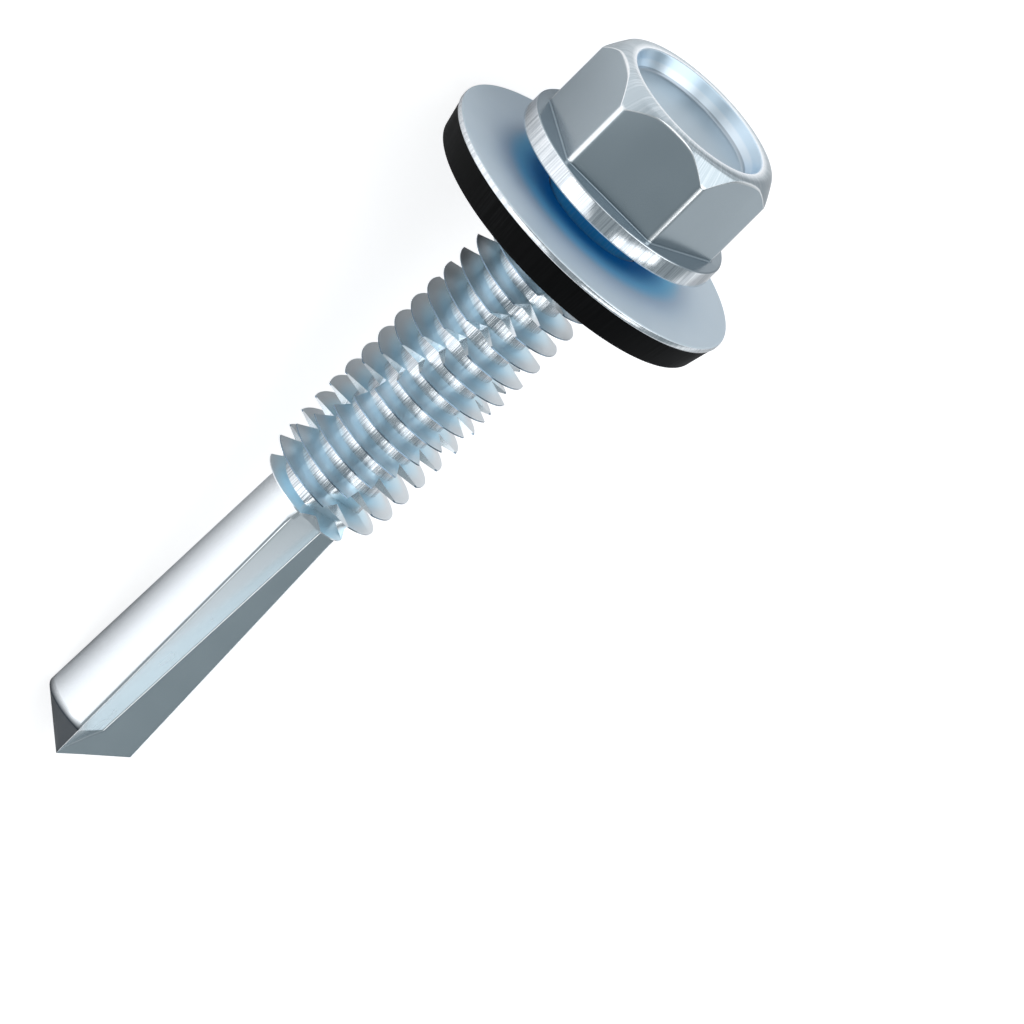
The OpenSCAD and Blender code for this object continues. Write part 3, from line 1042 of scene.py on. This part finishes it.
def bright_zinc(finish, head, shank, thread, drill, washer):
    """Blue passivated zinc: bright where it is round, sky blue on the ridges, and grey on the head by
    painted shade. Painted shade also darkens the flange's top, the recess's floor, the crests, the flutes,
    the point and the gap under the flange, and highlights are painted along rounded edges and in the
    recess.
    """
    made = Finish("bright_zinc")
    names = ("dull", "worn", "hollow", "tip", "flank")
    dull, worn, hollow, tip, ridge = (made.mark(name) for name in names)
    flatness = made.facing_axis()
    height, reach = made.height, made.reach

    # The thread
    root, crest = thread.root_width / 2 / MM, thread.width / 2 / MM
    flank = ridge * made.ramp(flatness, *FLANK_FACING)
    # Painted shade along the crests
    edge = ridge * made.beside(reach, crest, CREST_SPAN) * made.ramp(flatness, *CREST_FACING)
    pale = made.ramp(reach, root + PALE_OFF_ROOT, crest - PALE_OFF_CREST)

    # The head
    top, mouth = head.height / MM, head.recess_width / 2 / MM
    depth, flange = top - head.recess_depth / MM, head.flange_height / MM
    recess = made.beside(reach, mouth, MOUTH_SPAN) * made.beside(height, depth, RECESS_SPAN)
    band = made.beside(height, top, BAND_SPAN)
    corner, bottom = (made.beside(height, depth, span) for span in (CORNER_SPAN, FLOOR_SPAN))
    low, high = (made.beside(height, flange, span) for span in FLANGE_SPANS)
    flange_top = low * high
    grey = dull.most(flange_top)

    # The neck and the gap round it, which gets a painted deep blue shade
    above = made.beside(height, -(shank.neck_length + shank.neck_cone) / MM, ABOVE_SPAN)
    over_disc = made.beside(height, -washer.drop / MM, GAP_LOW_SPAN)
    gap_blue_shade = made.beside(height, 0.0, GAP_TOP_SPAN) * over_disc

    # The drill
    inside = made.ramp(hollow, 0.0, NEAR_WALL)
    point = tip * (1 - inside)
    above_drill = made.beside(height, (drill.length - shank.length) / MM, DRILL_SPAN)

    # Streaks, where the plating is bright and round
    bare = made.beside(reach, root, BARE_SPAN).most(above) * above_drill
    turned = (1 - grey) * (1 - recess) * (1 - flatness) * (1 - inside) * bare
    lines, fine = made.streaks(*ZINC_STREAKS), made.streaks(*FINE_STREAKS)
    streaks = lines * (finish.streaks - above * ABOVE_PALER) + fine * finish.fine_streaks

    # The lower part of the recess's wall gets a painted highlight, and the corner round its floor a
    # painted shade
    wall = made.mix(band * BAND, finish.zinc_recess, finish.zinc)
    wall = made.mix(corner * CORNER, wall, finish.zinc_dark)
    base = made.mix(turned * streaks, finish.zinc, finish.zinc_dark)
    for look, tone in (
        # The recess, with painted shade on its floor
        (recess, made.mix(bottom, wall, finish.zinc_recess_floor_shade)),
        # Painted shade on the head
        (grey, made.mix(flatness * fine * SHEEN, finish.zinc_flat_shade, finish.zinc)),
        # Painted shade on the flange's top
        (flange_top, finish.zinc_flange_shade),
        (flank, made.mix(pale, finish.zinc_blue, finish.zinc_lobe)),
        # Painted shade along the crests
        (edge * CREST, finish.zinc_crest_shade),
        # Painted shade in the flutes
        (hollow, finish.zinc_flute_shade),
        # Painted shade on the point
        (point, finish.zinc_point_shade),
        # A highlight painted along rounded edges
        (worn * finish.painted_glint_strength, finish.zinc_worn),
        # Painted deep blue shade in the gap round the neck
        (gap_blue_shade * (GAP_SHADE_STRENGTH - lines * GAP_STREAKS), finish.zinc_deep_shade),
    ):
        base = made.mix(look, base, tone)

    looks = {
        "clouds": made.clouds(ZINC_CLOUDS),
        "grey": grey,
        "recess": recess,
        "flank": flank,
        "point": point,
        "wall": inside * (1 - hollow),
        "gap": gap_blue_shade,
    }
    roughness = finish.rough_zinc + weighted(ZINC_ROUGHER, looks)
    cut = turned * (1 - above * ABOVE_FLATTER)
    marks = {"streaks": cut * lines, "fine": cut * fine, "grain": made.grain(ZINC_GRAIN)}
    bump = made.bump(weighted(ZINC_HEIGHTS, marks), *ZINC_BUMP)
    metal = 1 - gap_blue_shade * GAP_PAINT
    return made.surface({}, Metallic=metal, Base_Color=base, Roughness=roughness, Normal=bump)


def disc_zinc(finish, head, washer):
    """The disc's zinc, with a painted deep blue shade in the gap under the flange."""
    made = Finish("disc_zinc")
    on_top = made.beside(made.height, -washer.drop / MM, DISC_SPAN)
    flange = head.flange_width / 2 / MM
    # Painted blue shade on the disc under the flange, pale outside and deep inside
    under, deep = (made.beside(made.reach, flange, span) for span in (UNDER_SPAN, DEEP_SPAN))
    lines = made.streaks(*DISC_STREAKS)
    clouds = made.clouds(DISC_CLOUDS)
    base = made.mix(clouds * DISC_CLOUDY, finish.zinc_disc, finish.zinc)
    base = made.mix(under, base, made.mix(deep, finish.zinc_pale_gap_shade, finish.zinc_deep_shade))
    top = made.mix(lines * DISC_STREAKY, finish.zinc, finish.zinc_dark)
    base = made.mix(on_top, top, base)
    rougher = weighted(DISC_ROUGHER, {"top": on_top, "clouds": on_top * clouds})
    bump = made.bump(made.grain(DISC_GRAIN), *DISC_BUMP)
    metal = 1 - on_top * GAP_PAINT
    return made.surface(
        {}, Metallic=metal, Base_Color=base, Roughness=finish.rough_disc + rougher, Normal=bump
    )


def black_rubber(finish):
    """Black rubber with the fine upright marks of its mould."""
    made = Finish("black_rubber")
    lines = made.streaks(*RUBBER_STREAKS)
    clouds = made.ramp(made.clouds(RUBBER_CLOUDS), *RUBBER_CLOUD_SPAN)
    shown = lines * (RUBBER_STREAKY + clouds * RUBBER_CLOUDY)
    base = made.mix(shown, finish.rubber, finish.rubber_marks)
    rougher = weighted(RUBBER_ROUGHER, {"clouds": clouds, "streaks": lines})
    heights = weighted(RUBBER_HEIGHTS, {"streaks": lines, "grain": made.grain(RUBBER_GRAIN)})
    return made.surface(
        {"Metallic": 0.0, "Specular IOR Level": RUBBER_SHINE},
        Base_Color=base,
        Roughness=finish.rough_rubber + rougher,
        Normal=made.bump(heights, *RUBBER_BUMP),
    )


class SCREW_OT_screw(bpy.types.Operator):
    """Builds the screw in one piece: head, flange, neck, thread and fluted drill"""

    bl_idname = "drilling_screw.screw"
    bl_label = "Screw"

    def execute(self, context):
        s = settings()
        flutes = FluteShape(s.drill, s.shank)
        shape = ThreadShape(s.thread, s.shank, flutes)
        skin = Skin()
        neck = add_head(skin, s.head, s.shank, shape.root)
        top, low = add_thread(skin, shape)
        skin.join(neck, top)
        skin.join(low, add_drill(skin, flutes))
        material = bright_zinc(s.finish, s.head, s.shank, s.thread, s.drill, s.washer)
        lay_down(skin.object("drilling_screw"), "screw", "screw", material)
        return {"FINISHED"}


class SCREW_OT_disc(bpy.types.Operator):
    """Builds the steel disc of the sealing washer"""

    bl_idname = "drilling_screw.disc"
    bl_label = "Washer disc"

    def execute(self, context):
        s = settings()
        rim, hole = s.washer.width / 2, s.shank.neck_width / 2 + s.washer.hole_gap
        top = -s.washer.drop
        low = top - s.washer.thickness
        corners = [(hole, top), (rim, top), (rim, low), (hole, low)]
        outline = []
        for k, corner in enumerate(corners):
            following = corners[(k + 1) % len(corners)]
            outline += bend(corners[k - 1], corner, following, s.washer.edge_round, ROUND_STEPS)
        skin = Skin()
        skin.revolve(outline, TURN_STEPS)
        material = disc_zinc(s.finish, s.head, s.washer)
        lay_down(skin.object("washer_disc"), "washer", "washer_plate", material)
        return {"FINISHED"}


class SCREW_OT_rubber(bpy.types.Operator):
    """Builds the rubber seal under the disc"""

    bl_idname = "drilling_screw.rubber"
    bl_label = "Rubber seal"

    def execute(self, context):
        s = settings()
        top = -s.washer.drop - s.washer.thickness
        low = top - s.washer.rubber_height
        rim = s.washer.width / 2 - s.washer.rubber_inset
        hole = s.thread.width / 2 + s.washer.rubber_gap
        outer = Vector((rim - s.washer.rubber_taper, low))
        inner = Vector((hole, low + s.washer.rubber_dish))
        outline = [(hole, top), (rim, top)]
        outline += bend((rim, top), outer, inner, s.washer.rubber_round, ROUND_STEPS)
        outline += [outer.lerp(inner, part) for part in SEAL_PLACES]
        outline += bend(outer, inner, (hole, top), s.washer.rubber_round / 2, ROUND_STEPS)
        skin = Skin()
        skin.revolve(outline, TURN_STEPS)
        material = black_rubber(s.finish)
        lay_down(skin.object("rubber_ring"), "washer", "rubber_seal", material)
        return {"FINISHED"}


# The softboxes: the way to each, its width and height in metres, and its brightness
SOFTBOXES = {
    "top_softbox": ((-0.5, 0.3, 0.81), (0.55, 0.66), 1.15),
    "right_softbox": ((0.48, 0.1, 0.87), (0.5, 0.13), 1.2),
    "front_softbox": ((0.365, -0.89, 0.27), (0.3, 0.38), 0.8),
    "left_softbox": ((-0.7, -0.4, 0.6), (0.35, 0.3), 1.0),
}
SOFTBOX_DISTANCE = 0.6

# The power of one square metre of a softbox that looks white, in watts
WHITE_POWER = 4

FLOOR_RADIUS = 1.6

# Up to which distance from the screw the zinc sees a painted shadow on the floor, by which power, from how
# many samples
NEAR_FLOOR, NEAR_POWER, NEAR_SAMPLES = 0.015, 3, 3

# Over which span behind the screw the zinc sees a further painted shadow on the floor, and by which share
BACK_SPAN, BACK_SHARE = (0.006, 0.024), 0.85

# Between which heights the room's tone turns into that of the horizon, as shares of the way up
HORIZON_SPAN = (0.4, 0.2)

# The camera's sensor in millimetres, and the nearest and farthest that it sees in metres
SENSOR_WIDTH = 36
CLIP = (0.01, 10)


def add_softbox(name, direction, size, brightness):
    """A softbox that faces the screw. Its brightness is 1 where it looks white."""
    light = bpy.data.lights.new(name, "AREA")
    light.shape = "RECTANGLE"
    light.size, light.size_y = size
    light.energy = WHITE_POWER * size[0] * size[1] * brightness
    lamp = bpy.data.objects.new(name, light)
    way = Vector(direction).normalized()
    lamp.location = way * SOFTBOX_DISTANCE
    lamp.rotation_mode = "QUATERNION"
    lamp.rotation_quaternion = way.to_track_quat("Z", "Y")
    lamp.visible_camera = False
    bpy.context.scene.collection.objects.link(lamp)


def seen_directly(nodes):
    """1 for rays from the camera. Metal and glass see a painted shadow on the floor close by and behind
    the screw.
    """
    camera, glossy, through = (
        nodes.add("ShaderNodeLightPath", output=f"Is {kind} Ray")
        for kind in ("Camera", "Glossy", "Transmission")
    )
    options, values = {"samples": NEAR_SAMPLES}, {"Distance": NEAR_FLOOR}
    near = nodes.add("ShaderNodeAmbientOcclusion", options, values, "AO")
    back = nodes.separate(nodes.add("ShaderNodeTexCoord", output="Object"), "Y")
    shade = near**NEAR_POWER * (1 - nodes.ramp(back, *BACK_SPAN) * BACK_SHARE)
    return camera.most(glossy.most(through) * shade)


def add_floor(studio):
    """A wide pale floor that looks white away from the screw and keeps its shadow."""
    skin = Skin()
    centre = skin.line([(0, 0, 0)])
    rim = skin.line(around(2 * pi * k / FLOOR_STEPS, FLOOR_RADIUS, 0) for k in range(FLOOR_STEPS))
    skin.fan(centre[0], rim)
    made = skin.object("floor")
    material = bpy.data.materials.new("pale_floor")
    nodes = Nodes(material)
    matt = nodes.add("ShaderNodeBsdfDiffuse", {}, {"Color": with_alpha(studio.floor)})
    white = nodes.mix(seen_directly(nodes), (0.0, 0.0, 0.0), (studio.glow,) * 3)
    glow = nodes.add("ShaderNodeEmission", {}, {"Color": white})
    both = nodes.add("ShaderNodeAddShader", {}, {0: matt, 1: glow})
    nodes.add("ShaderNodeOutputMaterial", {}, {"Surface": both})
    made.data.materials.append(material)


def add_room(studio):
    """The studio round the screw, paler just above the floor."""
    world = bpy.data.worlds.new("studio")
    bpy.context.scene.world = world
    nodes = Nodes(world)
    rise = nodes.separate(nodes.add("ShaderNodeTexCoord", output="Generated"), "Z")
    tone = nodes.mix(nodes.ramp(rise, *HORIZON_SPAN), studio.room, studio.horizon)
    room = nodes.add("ShaderNodeBackground", {}, {"Color": tone, "Strength": 1.0})
    nodes.add("ShaderNodeOutputWorld", {}, {"Surface": room})


def add_camera(head, shank, studio):
    """A camera far off, so that the picture is nearly without perspective."""
    resting = resting_place(head)
    turned = resting.to_3x3()
    view_up = turned @ Vector((0, sin(studio.tilt), cos(studio.tilt)))
    view_right = turned @ Vector((1, 0, 0))
    toward = turned @ Vector((0, -cos(studio.tilt), sin(studio.tilt)))
    right = view_up * cos(studio.slant) + view_right * sin(studio.slant)
    up = view_up * sin(studio.slant) - view_right * cos(studio.slant)
    aim = resting @ Vector((studio.aim_side, 0, studio.aim_height - shank.length))
    lens = bpy.data.cameras.new("camera")
    lens.sensor_width = SENSOR_WIDTH
    lens.lens = SENSOR_WIDTH * studio.distance / studio.seen
    lens.clip_start, lens.clip_end = CLIP
    camera = bpy.data.objects.new("camera", lens)
    camera.matrix_world = Matrix.Translation(aim + toward * studio.distance) @ (
        Matrix((right, up, toward)).transposed().to_4x4()
    )
    bpy.context.scene.collection.objects.link(camera)
    bpy.context.scene.camera = camera


class SCREW_OT_studio(bpy.types.Operator):
    """Sets up the floor, the soft lights and the camera"""

    bl_idname = "drilling_screw.studio"
    bl_label = "Studio"

    def execute(self, context):
        s = settings()
        add_floor(s.studio)
        add_room(s.studio)
        for name, softbox in SOFTBOXES.items():
            add_softbox(name, *softbox)
        add_camera(s.head, s.shank, s.studio)
        context.scene.view_settings.view_transform = "Standard"
        return {"FINISHED"}


class SCREW_PT_panel(bpy.types.Panel):
    """Lists the steps of the build and the sizes"""

    bl_label = "Self Drilling Screw"
    bl_idname = "SCREW_PT_panel"
    bl_space_type = "VIEW_3D"
    bl_region_type = "UI"
    bl_category = "Screw"

    def draw(self, context):
        for operator in OPERATORS:
            self.layout.operator(operator.bl_idname)
        for name, group in GROUPS.items():
            box = self.layout.box()
            box.label(text=name.capitalize())
            for field in group.__annotations__:
                box.prop(getattr(context.scene.drilling_screw, name), field)


OPERATORS = (SCREW_OT_screw, SCREW_OT_disc, SCREW_OT_rubber, SCREW_OT_studio)
CLASSES = (*GROUPS.values(), ScrewSettings, *OPERATORS, SCREW_PT_panel)


def register():
    for cls in CLASSES:
        bpy.utils.register_class(cls)
    bpy.types.Scene.drilling_screw = PointerProperty(type=ScrewSettings)


def unregister():
    del bpy.types.Scene.drilling_screw
    for cls in reversed(CLASSES):
        bpy.utils.unregister_class(cls)


def main():
    register()
    bpy.ops.drilling_screw.screw()
    bpy.ops.drilling_screw.disc()
    bpy.ops.drilling_screw.rubber()
    bpy.ops.drilling_screw.studio()


if __name__ == "__main__":
    main()
